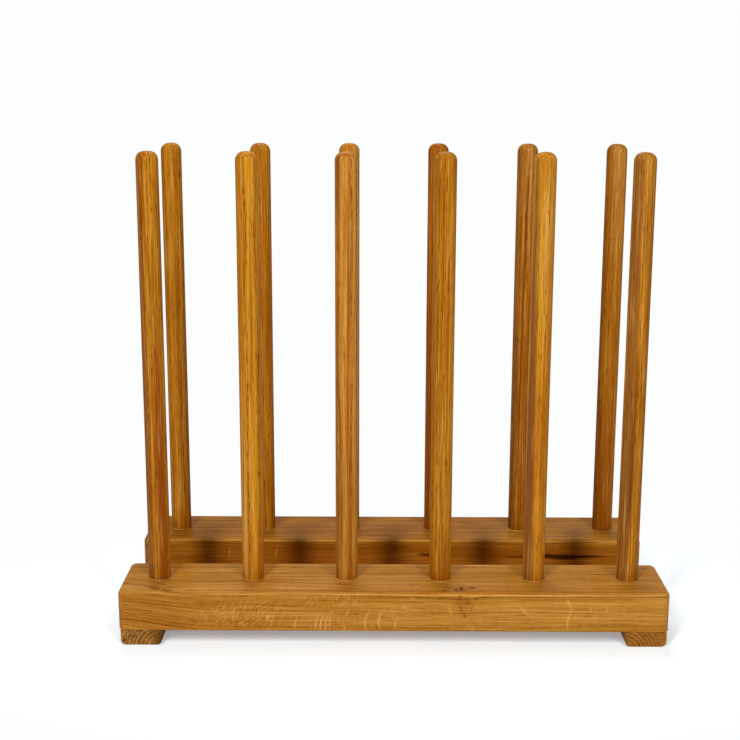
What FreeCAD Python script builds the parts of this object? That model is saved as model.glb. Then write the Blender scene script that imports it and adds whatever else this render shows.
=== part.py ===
"""Boot rack: two oak rails with a row of round posts each, on two cross runners.

A boot is pushed over a post, sole up, to dry and to be kept. The rack stands on
the floor: +Z is up, +X runs along the rails to the right, +Y to the back, and the
origin is the middle of the footprint. All lengths are in millimetres.
"""
import FreeCAD, Part
import os

import Sketcher
from FreeCAD import Vector

# ---------------------------------------------------------------- driving dimensions

SIZES = [
    # alias, value, what it is
    ("rail_length", 600, "each rail, end to end"),
    ("rail_width", 90, "each rail, front to back"),
    ("rail_height", 45, "each rail, underside to top face"),
    ("rail_edge_round", 4.5, "radius along the upper edges of a rail"),
    ("rail_corner_round", 7, "radius of a rail's four upright corners"),
    ("rail_arris", 0.8, "small chamfer along the lower edges of a rail"),
    ("row_spacing", 170, "centre of the front rail to centre of the rear rail"),
    ("runner_width", 45, "each runner, across"),
    ("runner_thickness", 17, "each runner, floor to rail"),
    ("runner_inset", 2, "end of the rails to the outer side of a runner"),
    ("runner_edge_round", 6, "radius along the two lower edges of a runner"),
    ("runner_arris", 0.8, "small chamfer on the lower end edges of a runner"),
    ("posts_per_row", 6, "number of posts in one rail"),
    ("post_end_distance", 40, "end of the rail to the axis of the outer post"),
    ("post_diameter", 24, "each post"),
    ("post_height", 470, "each post, above the rail"),
    ("post_top_round", 9.3, "radius round the top of a post"),
    ("post_shoulder_chamfer", 0.5, "broken edge where a post meets the rail"),
    ("tenon_diameter", 20, "turned end of a post, in the rail"),
    ("tenon_chamfer", 1.5, "chamfer that leads the tenon into its socket"),
    ("socket_depth", 30, "blind socket of a tenon, below the top face"),
    ("tenon_end_room", 1, "room for glue under the tenon"),
    ("glue_gap", 0.15, "radial room for glue round the tenon"),
    ("screw_diameter", 4.5, "wood screw, over the thread"),
    ("screw_length", 45, "wood screw, head face to tip"),
    ("screw_tip_length", 6, "pointed end of a wood screw"),
    ("screw_head_diameter", 8.8, "countersunk head"),
    ("screw_head_rim", 0.4, "straight rim of the countersunk head"),
    ("screw_head_sink", 1, "head face above the underside of the runner"),
    ("screw_seat_gap", 0.1, "room between the head's cone and its countersink"),
    ("screw_edge_distance", 23, "face of the rail to the axis of a screw"),
    ("screw_hole_gap", 0.25, "radial room round a screw in the runner"),
    ("pilot_gap", 0.05, "radial room round a screw in the rail"),
    ("pilot_end_room", 2, "pilot hole past the tip of the screw"),
    ("recess_span", 4.6, "cross recess, tip to tip"),
    ("recess_slot", 1.2, "cross recess, width of a slot"),
    ("recess_depth", 1.9, "cross recess, below the head face"),
]

doc = FreeCAD.newDocument("boot_rack")
sheet = doc.addObject("Spreadsheet::Sheet", "Sizes")
for row, (alias, value, meaning) in enumerate(SIZES, start=1):
    sheet.set(f"A{row}", meaning)
    sheet.set(f"B{row}", str(value))
    sheet.setAlias(f"B{row}", alias)
doc.recompute()

# Places and sizes that follow from the driving dimensions, as expressions.
OUTER_POST_X = "(Sizes.rail_length / 2 - Sizes.post_end_distance)"
POST_ROW_LENGTH = "Sizes.rail_length - 2 * Sizes.post_end_distance"
RUNNER_LENGTH = "Sizes.row_spacing + Sizes.rail_width"
RUNNER_X = "(Sizes.rail_length / 2 - Sizes.runner_inset - Sizes.runner_width / 2)"
ROW_Y = "Sizes.row_spacing / 2"
RAIL_TOP = "Sizes.runner_thickness + Sizes.rail_height"
SCREW_RAIL_Y = "(Sizes.rail_width / 2 - Sizes.screw_edge_distance)"
PILOT_DEPTH = ("Sizes.screw_head_sink + Sizes.screw_length + Sizes.pilot_end_room"
               " - Sizes.runner_thickness")
HEAD_CONE = "(Sizes.screw_head_diameter - Sizes.screw_diameter) / 2"
COUNTERSINK = ("Sizes.screw_head_diameter"
               " + 2 * (Sizes.screw_head_rim + Sizes.screw_head_sink + Sizes.screw_seat_gap)")

FRONT, REAR = -1, 1
LEFT, RIGHT = -1, 1
TOLERANCE = 1e-6


def size(alias):
    """The present value of one driving dimension."""
    return float(sheet.get(alias))


# ---------------------------------------------------------------- drawing helpers

def new_body(label):
    """An empty body, named as its piece."""
    body = doc.addObject("PartDesign::Body", label)
    body.Label = label
    return body


def sketch_on(body, name, role, height=None):
    """A sketch on one of the body's own origin planes, lifted by an expression."""
    plane = next(item for item in body.Origin.OriginFeatures if item.Role == role)
    sketch = body.newObject("Sketcher::SketchObject", name)
    sketch.AttachmentSupport = [(plane, "")]
    sketch.MapMode = "FlatFace"
    if height:
        sketch.setExpression("AttachmentOffset.Base.z", height)
    return sketch


def dimension(sketch, kind, where, name, expression, guess):
    """One named dimension of a sketch, driven by an expression."""
    index = sketch.addConstraint(Sketcher.Constraint(kind, *where, guess))
    sketch.renameConstraint(index, name)
    sketch.setExpression("Constraints." + name, expression)


def rectangle(sketch, wide, deep, wide_guess, deep_guess):
    """A rectangle centred on the sketch's origin."""
    x, y = wide_guess / 2, deep_guess / 2
    corners = [Vector(-x, -y, 0), Vector(x, -y, 0), Vector(x, y, 0), Vector(-x, y, 0)]
    for start, end in zip(corners, corners[1:] + corners[:1]):
        sketch.addGeometry(Part.LineSegment(start, end))
    for line in range(4):
        sketch.addConstraint(Sketcher.Constraint("Coincident", line, 2, (line + 1) % 4, 1))
        direction = "Vertical" if line % 2 else "Horizontal"
        sketch.addConstraint(Sketcher.Constraint(direction, line))
    sketch.addConstraint(Sketcher.Constraint("Symmetric", 0, 1, 2, 1, -1, 1))
    dimension(sketch, "DistanceX", (0, 1, 0, 2), "wide", wide, wide_guess)
    dimension(sketch, "DistanceY", (1, 1, 1, 2), "deep", deep, deep_guess)


def from_origin(sketch, kind, item, point, side, name, expression, guess):
    """Distance of a point from the origin, to the side given by its sign."""
    if side == 0:
        on_axis = "Vertical" if kind == "DistanceX" else "Horizontal"
        sketch.addConstraint(Sketcher.Constraint(on_axis, -1, 1, item, point))
    elif side > 0:
        dimension(sketch, kind, (-1, 1, item, point), name, expression, guess)
    else:
        dimension(sketch, kind, (item, point, -1, 1), name, expression, guess)


def circle(sketch, tag, across, x_side, x_place, y_side, y_place):
    """A circle at x_side * x_place, y_side * y_place; the places are expressions."""
    centre = Vector(x_side * 10.0, y_side * 10.0, 0)
    item = sketch.addGeometry(Part.Circle(centre, Vector(0, 0, 1), 2.0))
    dimension(sketch, "Diameter", (item,), tag + "_across", across, 4.0)
    from_origin(sketch, "DistanceX", item, 3, x_side, tag + "_x", x_place, 10.0)
    from_origin(sketch, "DistanceY", item, 3, y_side, tag + "_y", y_place, 10.0)


def outline(sketch, points):
    """A closed outline; each point is (x expression, y expression), both positive."""
    def value(expression):
        return float(sheet.evalExpression(expression)) if expression else 0.0

    places = [Vector(value(x), value(y), 0) for x, y in points]
    for start, end in zip(places, places[1:] + places[:1]):
        sketch.addGeometry(Part.LineSegment(start, end))
    count = len(points)
    for line in range(count):
        sketch.addConstraint(
            Sketcher.Constraint("Coincident", line, 2, (line + 1) % count, 1))
    for line, (x, y) in enumerate(points):
        from_origin(sketch, "DistanceX", line, 1, 1 if x else 0, f"x{line}", x,
                    places[line].x)
        from_origin(sketch, "DistanceY", line, 1, 1 if y else 0, f"y{line}", y,
                    places[line].y)


def pad(body, sketch, name, length):
    """Material raised from a sketch."""
    feature = body.newObject("PartDesign::Pad", name)
    feature.Profile = sketch
    feature.setExpression("Length", length)
    sketch.Visibility = False
    return feature


def pocket(body, sketch, name, depth, upwards=False):
    """Material cut from a sketch, down into the piece or up into it."""
    feature = body.newObject("PartDesign::Pocket", name)
    feature.Profile = sketch
    feature.Reversed = upwards
    feature.setExpression("Length", depth)
    sketch.Visibility = False
    return feature


def edges_where(feature, test):
    """Names of the edges of a finished feature whose bounding box passes a test."""
    doc.recompute()
    found = []
    for number, edge in enumerate(feature.Shape.Edges, start=1):
        if test(edge.BoundBox):
            found.append(f"Edge{number}")
    return found


def dress(body, kind, name, base, edges, field, amount):
    """A fillet or a chamfer on chosen edges of a feature."""
    feature = body.newObject("PartDesign::" + kind, name)
    feature.Base = (base, edges)
    feature.setExpression(field, amount)
    doc.recompute()
    return feature


def at_height(box, height):
    """Whether an edge lies flat at one height."""
    return abs(box.ZMin - height) < TOLERANCE and abs(box.ZMax - height) < TOLERANCE


def place(body, x="0", y="0", z="0"):
    """Bind the place of a piece to the sizes."""
    for axis, expression in (("x", x), ("y", y), ("z", z)):
        body.setExpression("Placement.Base." + axis, expression)


# ---------------------------------------------------------------- the pieces

def make_rail(label, row_side):
    """A rail: rounded above, with blind sockets for the posts and pilot holes below."""
    body = new_body(label)
    plan = sketch_on(body, label + "_plan", "XY_Plane")
    rectangle(plan, "Sizes.rail_length", "Sizes.rail_width",
              size("rail_length"), size("rail_width"))
    batten = pad(body, plan, label + "_batten", "Sizes.rail_height")

    upright = edges_where(batten, lambda box: box.ZLength > size("rail_height") / 2)
    corners = dress(body, "Fillet", label + "_corners", batten, upright, "Radius",
                    "Sizes.rail_corner_round")
    above = edges_where(corners, lambda box: at_height(box, size("rail_height")))
    rounded = dress(body, "Fillet", label + "_upper_edges", corners, above, "Radius",
                    "Sizes.rail_edge_round")
    below = edges_where(rounded, lambda box: at_height(box, 0))
    dress(body, "Chamfer", label + "_arris", rounded, below, "Size", "Sizes.rail_arris")

    mouth = sketch_on(body, label + "_socket_mouth", "XY_Plane", "Sizes.rail_height")
    circle(mouth, "socket", "Sizes.tenon_diameter + 2 * Sizes.glue_gap",
           LEFT, OUTER_POST_X, 0, None)
    socket = pocket(body, mouth, label + "_socket", "Sizes.socket_depth")
    doc.recompute()
    sockets = body.newObject("PartDesign::LinearPattern", label + "_sockets")
    sockets.Originals = [socket]
    sockets.Direction = (mouth, ["H_Axis"])
    sockets.setExpression("Length", POST_ROW_LENGTH)
    sockets.setExpression("Occurrences", "Sizes.posts_per_row")
    body.Tip = sockets
    doc.recompute()

    starts = sketch_on(body, label + "_pilot_starts", "XY_Plane")
    for x_name, x_side in (("left", LEFT), ("right", RIGHT)):
        for y_name, y_side in (("front", FRONT), ("rear", REAR)):
            circle(starts, f"pilot_{x_name}_{y_name}",
                   "Sizes.screw_diameter + 2 * Sizes.pilot_gap",
                   x_side, RUNNER_X, y_side, SCREW_RAIL_Y)
    pocket(body, starts, label + "_pilots", PILOT_DEPTH, upwards=True)
    place(body, y=f"{row_side} * {ROW_Y}", z="Sizes.runner_thickness")
    return body


def make_runner(label, side):
    """A cross runner: rounded below, with a countersunk hole for each screw."""
    body = new_body(label)
    plan = sketch_on(body, label + "_plan", "XY_Plane")
    length = size("row_spacing") + size("rail_width")
    rectangle(plan, "Sizes.runner_width", RUNNER_LENGTH, size("runner_width"), length)
    batten = pad(body, plan, label + "_batten", "Sizes.runner_thickness")

    long_edges = edges_where(batten, lambda box: at_height(box, 0) and box.YLength > length / 2)
    rounded = dress(body, "Fillet", label + "_lower_edges", batten, long_edges, "Radius",
                    "Sizes.runner_edge_round")
    end_edges = edges_where(rounded, lambda box: at_height(box, 0) and box.YLength < TOLERANCE)
    dress(body, "Chamfer", label + "_arris", rounded, end_edges, "Size",
          "Sizes.runner_arris")

    starts = sketch_on(body, label + "_screw_holes", "XY_Plane")
    for row_name, row_side in (("front", FRONT), ("rear", REAR)):
        for name, shift in (("inner", "-"), ("outer", "+")):
            circle(starts, f"hole_{row_name}_{name}", "Sizes.screw_diameter",
                   0, None, row_side, f"{ROW_Y} {shift} {SCREW_RAIL_Y}")
    doc.recompute()
    holes = body.newObject("PartDesign::Hole", label + "_countersunk_holes")
    holes.Profile = starts
    holes.Reversed = True
    holes.DepthType = "ThroughAll"
    holes.HoleCutType = "Countersink"
    holes.HoleCutCountersinkAngle = 90
    holes.setExpression("Diameter", "Sizes.screw_diameter + 2 * Sizes.screw_hole_gap")
    holes.setExpression("HoleCutDiameter", COUNTERSINK)
    starts.Visibility = False
    place(body, x=f"{side} * {RUNNER_X}")
    return body


def make_post(label, number, row_side):
    """An upright post: its shoulder stands on the rail, its tenon is glued in.

    Posts are numbered from the left. The piece's own zero height is its shoulder.
    """
    body = new_body(label)
    section = sketch_on(body, label + "_section", "XY_Plane")
    circle(section, "post", "Sizes.post_diameter", 0, None, 0, None)
    shaft = pad(body, section, label + "_shaft", "Sizes.post_height")
    top = edges_where(shaft, lambda box: at_height(box, size("post_height")))
    rounded = dress(body, "Fillet", label + "_top", shaft, top, "Radius",
                    "Sizes.post_top_round")
    shoulder = edges_where(rounded, lambda box: at_height(box, 0))
    dress(body, "Chamfer", label + "_shoulder", rounded, shoulder, "Size",
          "Sizes.post_shoulder_chamfer")

    tenon_section = sketch_on(body, label + "_tenon_section", "XY_Plane")
    circle(tenon_section, "tenon", "Sizes.tenon_diameter", 0, None, 0, None)
    tenon = pad(body, tenon_section, label + "_tenon",
                "Sizes.socket_depth - Sizes.tenon_end_room")
    tenon.Reversed = True
    tenon_end = size("tenon_end_room") - size("socket_depth")
    foot = edges_where(tenon, lambda box: at_height(box, tenon_end))
    dress(body, "Chamfer", label + "_foot", tenon, foot, "Size", "Sizes.tenon_chamfer")
    share = f"({number} - 1) / (Sizes.posts_per_row - 1)"
    place(body, x=f"{share} * ({POST_ROW_LENGTH}) - {OUTER_POST_X}",
          y=f"{row_side} * {ROW_Y}", z=RAIL_TOP)
    return body


def make_screw(label, side, row_side, shift):
    """A countersunk wood screw, driven up through a runner into a rail."""
    body = new_body(label)
    half = sketch_on(body, label + "_profile", "XZ_Plane")
    cone_top = f"Sizes.screw_head_rim + {HEAD_CONE}"
    outline(half, [
        (None, None),
        ("Sizes.screw_head_diameter / 2", None),
        ("Sizes.screw_head_diameter / 2", "Sizes.screw_head_rim"),
        ("Sizes.screw_diameter / 2", cone_top),
        ("Sizes.screw_diameter / 2", "Sizes.screw_length - Sizes.screw_tip_length"),
        (None, "Sizes.screw_length"),
    ])
    turned = body.newObject("PartDesign::Revolution", label + "_turned")
    turned.Profile = half
    turned.ReferenceAxis = (half, ["V_Axis"])
    turned.Angle = 360
    half.Visibility = False
    doc.recompute()

    for name, wide, deep in (("slot_x", "recess_span", "recess_slot"),
                             ("slot_y", "recess_slot", "recess_span")):
        slot = sketch_on(body, f"{label}_{name}_outline", "XY_Plane")
        rectangle(slot, "Sizes." + wide, "Sizes." + deep, size(wide), size(deep))
        pocket(body, slot, f"{label}_{name}", "Sizes.recess_depth", upwards=True)
        doc.recompute()
    place(body, x=f"{side} * {RUNNER_X}",
          y=f"{row_side} * ({ROW_Y} {shift} {SCREW_RAIL_Y})", z="Sizes.screw_head_sink")
    return body


pieces = [
    make_rail("front_rail", FRONT),
    make_rail("rear_rail", REAR),
    make_runner("left_runner", LEFT),
    make_runner("right_runner", RIGHT),
]
for row_name, row_side in (("front", FRONT), ("rear", REAR)):
    for number in range(1, int(size("posts_per_row")) + 1):
        pieces.append(make_post(f"{row_name}_post_{number}", number, row_side))
    for side_name, side in (("left", LEFT), ("right", RIGHT)):
        for name, shift in (("inner", "-"), ("outer", "+")):
            label = f"screw_{row_name}_{side_name}_{name}"
            pieces.append(make_screw(label, side, row_side, shift))
doc.recompute()

# ---------------------------------------------------------------- checks and files

CUTS = ("PartDesign::Pocket", "PartDesign::Hole", "PartDesign::LinearPattern")
for item in doc.Objects:
    if {"Invalid", "Error"} & set(item.State):
        raise RuntimeError(f"{item.Label}: {item.State}")
    if item.TypeId in CUTS and item.Shape.Volume > item.BaseFeature.Shape.Volume - TOLERANCE:
        raise RuntimeError(f"{item.Label} cuts nothing")

os.makedirs("parts", exist_ok=True)
for body in pieces:
    shape = body.Shape
    if shape.isNull() or not shape.isValid() or len(shape.Solids) != 1:
        raise RuntimeError(f"{body.Label}: not one sound solid")
    shape.exportStep(f"parts/{body.Label}.step")
    box = shape.BoundBox
    print(f"{body.Label:28s} {shape.Volume / 1000:9.2f} cm3   "
          f"x {box.XMin:8.2f} {box.XMax:8.2f}   y {box.YMin:8.2f} {box.YMax:8.2f}   "
          f"z {box.ZMin:7.2f} {box.ZMax:7.2f}")
print(len(pieces), "pieces")
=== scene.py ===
# %% [markdown]
# # A boot rack in solid oak
# Two oak rails stand on two oak runners, and twelve round posts stand in the rails. A boot
# goes upside down over each post, and its opening lets the damp out. This lesson dresses the
# rack: it gives every piece its wood, varnish or metal, turns the posts again with the small
# unevenness of handwork, cuts real threads on the screws, and lights the whole.
# The construction arrives as a fixed frame, in metres, with its origin on the floor in the
# middle of the rack. Nothing of it is moved here.

# %% Load the frame
import math

import bpy
import numpy as np
from mathutils import Euler, Matrix, Vector


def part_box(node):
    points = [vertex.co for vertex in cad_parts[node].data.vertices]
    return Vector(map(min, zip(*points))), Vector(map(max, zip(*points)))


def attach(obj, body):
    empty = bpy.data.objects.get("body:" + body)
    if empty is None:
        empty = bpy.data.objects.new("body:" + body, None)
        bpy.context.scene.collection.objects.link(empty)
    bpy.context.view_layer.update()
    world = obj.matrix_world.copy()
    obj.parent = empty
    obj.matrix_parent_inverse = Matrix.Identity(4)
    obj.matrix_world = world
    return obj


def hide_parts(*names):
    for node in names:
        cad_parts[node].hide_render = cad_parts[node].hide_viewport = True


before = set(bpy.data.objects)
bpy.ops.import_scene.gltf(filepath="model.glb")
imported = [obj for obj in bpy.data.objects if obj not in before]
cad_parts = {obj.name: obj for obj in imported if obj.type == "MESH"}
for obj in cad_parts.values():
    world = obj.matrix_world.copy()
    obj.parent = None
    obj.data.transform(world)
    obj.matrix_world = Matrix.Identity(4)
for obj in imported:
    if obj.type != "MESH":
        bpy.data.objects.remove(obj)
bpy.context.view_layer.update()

print("The frame has", len(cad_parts), "pieces")

# %% [markdown]
# ## Helpers
# A colour is easiest to choose as the screen shows it, so it is written as a hex value, and
# one function turns it into the linear light that the renderer counts in.
# A material is a chain of nodes. One small function adds a node, sets it and links it, so
# that a chain can be read from top to bottom like a recipe. Two steps come again and again:
# a smooth ease between two values and a mix of two colours. Their settings get names here.

# %% Colours and nodes
MM = 0.001
EASE = {"interpolation_type": "SMOOTHSTEP"}
COLOUR_MIX = {"take": 2, "data_type": "RGBA"}
SHARE, UNDER, OVER = 0, 6, 7  # sockets of a colour mix


def linear(hex_colour):
    """Turns an sRGB hex colour into linear red, green, blue and alpha."""
    shown = np.array([int(hex_colour[i:i + 2], 16) for i in (1, 3, 5)]) / 255
    light = np.where(shown <= 0.04045, shown / 12.92, ((shown + 0.055) / 1.055) ** 2.4)
    return (*light.tolist(), 1.0)


def add(tree, kind, inputs=None, take=0, **settings):
    """Adds a node and returns its output take. An input is a value or another node's output."""
    node = tree.nodes.new("ShaderNode" + kind)
    for name, value in settings.items():
        setattr(node, name, value)
    for socket, value in (inputs or {}).items():
        if isinstance(value, bpy.types.NodeSocket):
            tree.links.new(value, node.inputs[socket])
        else:
            node.inputs[socket].default_value = value
    if isinstance(take, tuple):
        return [node.outputs[name] for name in take]
    return node.outputs[take] if node.outputs else node


def new_material(name):
    """Makes an empty material and returns it with its node tree."""
    material = bpy.data.materials.new(name)
    material.use_nodes = True
    material.node_tree.nodes.clear()
    return material, material.node_tree


print("Helpers ready: a mid honey brown is", [round(c, 3) for c in linear("#B87E30")[:3]])

# %% [markdown]
# ## The camera
# The camera stands a metre and a half in front of the rack at about the height of a table
# lamp, and looks down by twelve degrees. A focal length of 66 mm on a 36 mm sensor keeps the
# uprights nearly parallel. A camera object looks along its own -Z axis, with +Y up in the
# image, so its matrix is built from those three directions.

# %% Place the camera
CAMERA_PLACE = Vector((-20.31, -1504.95, 610.53)) * MM
CAMERA_YAW = -0.00436
CAMERA_PITCH = 0.21609
CAMERA_ROLL = -0.00254
FOCAL_LENGTH = 65.6
SENSOR_WIDTH = 36.0


def camera_matrix(place, yaw, pitch, roll):
    """Turns sideways by yaw, down by pitch and round the line of sight by roll, in radians."""
    level_share = math.cos(pitch)
    ahead = Vector((math.sin(yaw) * level_share, math.cos(yaw) * level_share, -math.sin(pitch)))
    level = Vector((math.cos(yaw), -math.sin(yaw), 0.0))
    down = ahead.cross(level)
    right = math.cos(roll) * level + math.sin(roll) * down
    up = math.sin(roll) * level - math.cos(roll) * down
    return Matrix.Translation(place) @ Matrix((right, up, -ahead)).transposed().to_4x4()


camera = bpy.data.objects.new("camera", bpy.data.cameras.new("camera"))
camera.data.lens = FOCAL_LENGTH
camera.data.sensor_width = SENSOR_WIDTH
camera.matrix_world = camera_matrix(CAMERA_PLACE, CAMERA_YAW, CAMERA_PITCH, CAMERA_ROLL)
bpy.context.scene.collection.objects.link(camera)
bpy.context.scene.camera = camera
bpy.context.scene.view_settings.view_transform = "Standard"
print("Camera at", [round(c, 3) for c in camera.location])

# %% [markdown]
# ## Floor and backdrop
# The rack stands on a sheet of white paper that runs out of sight. What the eye sees of the
# paper is mostly the light that falls on it, with a little light of its own, so that open
# paper is white and only the dark under the rack and close beside it stays. Outside an oval
# round the rack the paper turns into plain white. For every other ray the sheet is just white
# paper that throws light up at the rack. Its own white is a little cool, as brightened paper
# is, which makes up for the warm light that the oak throws down on it.

# %% Make the paper
PAPER = "#FCFEFD"
COOL_WHITE = "#F6FCFF"
PAPER_HALF_SIZE = 6.0
PAPER_DROP = 0.2 * MM
PAPER_OWN_LIGHT = 0.31
AS_WRITTEN = 1.0  # the strength at which a colour shows as it is written
SHADED_CENTRE = (0.0, -0.05, 0.0)
SHADED_HALF_SIZE = (0.38, 0.22, 1.0)
SHADED_EDGE = {"From Min": 1.0, "From Max": 1.6}


def seen_directly(tree):
    """1 for rays from the camera, a mirror or a lens, and 0 for rays that carry light."""
    path = tree.nodes.new("ShaderNodeLightPath").outputs
    mirrored = add(tree, "Math", {0: path["Is Glossy Ray"], 1: path["Is Transmission Ray"]},
                   operation="MAXIMUM")
    return add(tree, "Math", {0: mirrored, 1: path["Is Camera Ray"]}, operation="MAXIMUM")


def make_paper():
    """White for the eye far out, shaded near the rack, and a plain matt sheet for light."""
    material, tree = new_material("white_background_paper")
    here = add(tree, "TexCoord", take="Object")
    place = add(tree, "Mapping", {"Vector": here, "Location": SHADED_CENTRE,
                                  "Scale": SHADED_HALF_SIZE}, vector_type="TEXTURE")
    distance = add(tree, "VectorMath", {0: place}, take="Value", operation="LENGTH")
    far = add(tree, "MapRange", {"Value": distance, **SHADED_EDGE}, **EASE)
    sheet = add(tree, "BsdfDiffuse", {"Color": linear(COOL_WHITE)})
    own = add(tree, "Emission", {"Color": linear(COOL_WHITE), "Strength": PAPER_OWN_LIGHT})
    near = add(tree, "AddShader", {0: sheet, 1: own})
    plain = add(tree, "Emission", {"Color": linear(PAPER), "Strength": AS_WRITTEN})
    seen = add(tree, "MixShader", {0: far, 1: near, 2: plain})
    both = add(tree, "MixShader", {0: seen_directly(tree), 1: sheet, 2: seen})
    add(tree, "OutputMaterial", {"Surface": both})
    return material


corners = np.array([(-1, -1), (1, -1), (1, 1), (-1, 1)]) * PAPER_HALF_SIZE
corners = np.column_stack((corners, np.full(4, -PAPER_DROP)))
paper_mesh = bpy.data.meshes.new("paper")
paper_mesh.from_pydata(corners.tolist(), [], [(0, 1, 2, 3)])
paper_mesh.materials.append(make_paper())
paper = bpy.data.objects.new("paper", paper_mesh)
bpy.context.scene.collection.objects.link(paper)
print("The paper is", 2 * PAPER_HALF_SIZE, "m wide")

# %% [markdown]
# ## Light
# A product of this kind is usually lit by two soft boxes, one on each side of the camera.
# They are area lamps, narrow and tall: narrow, so that each post throws a clear shadow, and
# tall, so that the dark under the rails has a soft rim. Each stands about twenty degrees to
# the side, and the shadows of the front posts meet in pairs on the rear rail. The left one is
# a little stronger. A large box behind the rack lights its back and the tops of the rails,
# and the world is the pale room around.

# %% Hang the lamps
SURROUND_LEVEL = 0.12
SURROUND_WHITE = (1.0, 1.0, 1.0, 1.0)
SOFT_BOXES = {
    # places and sizes in metres, power in watts
    "left_soft_box": {"place": (-0.8, -2.0, 1.85), "wide": 0.36, "tall": 1.5, "power": 34.0},
    "right_soft_box": {"place": (0.8, -2.0, 1.85), "wide": 0.36, "tall": 1.5, "power": 26.8},
    "rear_soft_box": {"place": (-0.2, 1.3, 2.3), "wide": 1.2, "tall": 1.2, "power": 26.5},
}
AIM = Vector((0.0, 0.0, 0.22))


def hang(name, place, wide, tall, power):
    """A rectangular area lamp at a place, pointed at the middle of the rack."""
    lamp = bpy.data.lights.new(name, "AREA")
    lamp.shape = "RECTANGLE"
    lamp.size = wide
    lamp.size_y = tall
    lamp.energy = power
    holder = bpy.data.objects.new(name, lamp)
    turned = (AIM - Vector(place)).to_track_quat("-Z", "Y").to_matrix().to_4x4()
    holder.matrix_world = Matrix.Translation(place) @ turned
    bpy.context.scene.collection.objects.link(holder)


for box_name, box_facts in SOFT_BOXES.items():
    hang(box_name, **box_facts)

world = bpy.data.worlds.new("studio")
world.use_nodes = True
room = world.node_tree
room.nodes.clear()
surround = add(room, "Background", {"Color": SURROUND_WHITE, "Strength": SURROUND_LEVEL})
backdrop = add(room, "Background", {"Color": linear(PAPER), "Strength": AS_WRITTEN})
mixed = add(room, "MixShader", {0: seen_directly(room), 1: surround, 2: backdrop})
add(room, "OutputWorld", {"Surface": mixed})
bpy.context.scene.world = world
print("Lamps:", ", ".join(SOFT_BOXES))

# %% [markdown]
# ## Oak, from the inside out
# A piece of oak is cut out of a trunk, and its figure follows from where in the trunk it
# sat. So the wood is drawn as a solid: for each point of a piece, its place in the trunk is
# worked out in millimetres, with X up the trunk and the pith, the middle of the tree, at
# zero. The year rings are distances from the pith. Each ring starts with a band of wide
# pores, the early wood, which looks darker, and fades into dense late wood. Rays are thin
# pale sheets that run out from the pith; where the saw follows one, it shows as a silvery
# fleck. Because all faces of a piece read the same solid, rings turn the corner from a long
# face to a sawn end as they do in real timber.
# Real pores are 0.3 mm wide, too fine to show at this size, so they are drawn 0.9 mm wide.

# %% The grain of oak
TURN_INTO_TRUNK = {
    "X": (0.0, 0.0, 0.0),
    "Y": (0.0, 0.0, math.radians(-90)),
    "Z": (0.0, math.radians(90), 0.0),
}
PORE_WIDTH = 0.9
PORE_LENGTH = 12.0
FIBRE_WIDTH = 1.5
FIBRE_LENGTH = 75.0
STREAK_WIDTH = 5.0
STREAK_LENGTH = 330.0
TONE_WIDTH = 15.0
TONE_LENGTH = 240.0
SWAY_WIDTH = 45.0
SWAY_LENGTH = 260.0


def stretched(tree, vector, length, width, detail=2.0, take=0):
    """Noise whose blots are length mm long up the trunk and width mm wide across it."""
    shrink = (1 / length, 1 / width, 1 / width)
    shrunk = add(tree, "VectorMath", {0: vector, 1: shrink}, operation="MULTIPLY")
    return add(tree, "TexNoise", {"Vector": shrunk, "Scale": 1.0, "Detail": detail}, take=take)


def place_in_trunk(tree, along, pith, stretch, sway):
    """Millimetres in the trunk: X up it and the pith at zero, swayed as a tree grows."""
    turn = Euler(TURN_INTO_TRUNK[along])
    shift = -(turn.to_matrix() @ Vector(pith)) + Vector((stretch, -sway, -sway))
    here = add(tree, "TexCoord", take="Object")
    trunk = add(tree, "Mapping", {"Vector": here, "Location": shift, "Rotation": turn,
                                  "Scale": (1 / MM,) * 3})
    leaning = stretched(tree, trunk, SWAY_LENGTH, SWAY_WIDTH, take="Color")
    return add(tree, "VectorMath", {0: leaning, 1: (0.0, 2 * sway, 2 * sway), 2: trunk},
               operation="MULTIPLY_ADD")


print("The grain is drawn in millimetres, pores", PORE_WIDTH, "mm wide")

# %% [markdown]
# The year rings are the distance from the pith, cut into years by a remainder. Years differ
# in width, so the distance is first bent a little by noise that depends on nothing else.
# Pores and fibres are noise drawn out along the trunk. The flecks of the rays are noise drawn
# out the other way, across the grain: short leaning dashes that a slower noise bends.
# Noise is a soft cloud. An edge, two levels of it between which it eases from none to full,
# makes separate dashes of it.

# %% Rings, pores and rays
YEAR_CHANGE_WIDTH = 9.0
YEAR_CHANGE = 5.0
YEAR_STRENGTH = {"To Min": 0.25}
EARLY_WOOD = {"From Max": 0.6, "To Min": 1.0, "To Max": 0.0}
PORE_EDGE = {"From Min": 0.53, "From Max": 0.64}
PORE_CROWDING = {"From Max": 0.8, "To Min": 0.35}
FLECK_WIDTH = 1.2
FLECK_LENGTH = 5.5
FLECK_LEAN = math.radians(-36)
FLECK_BEND = 5.5
FLECK_BEND_LENGTH = 26.0
FLECK_BEND_WIDTH = 12.0
FLECK_EDGE = {"From Min": 0.5, "From Max": 0.64}


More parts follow.
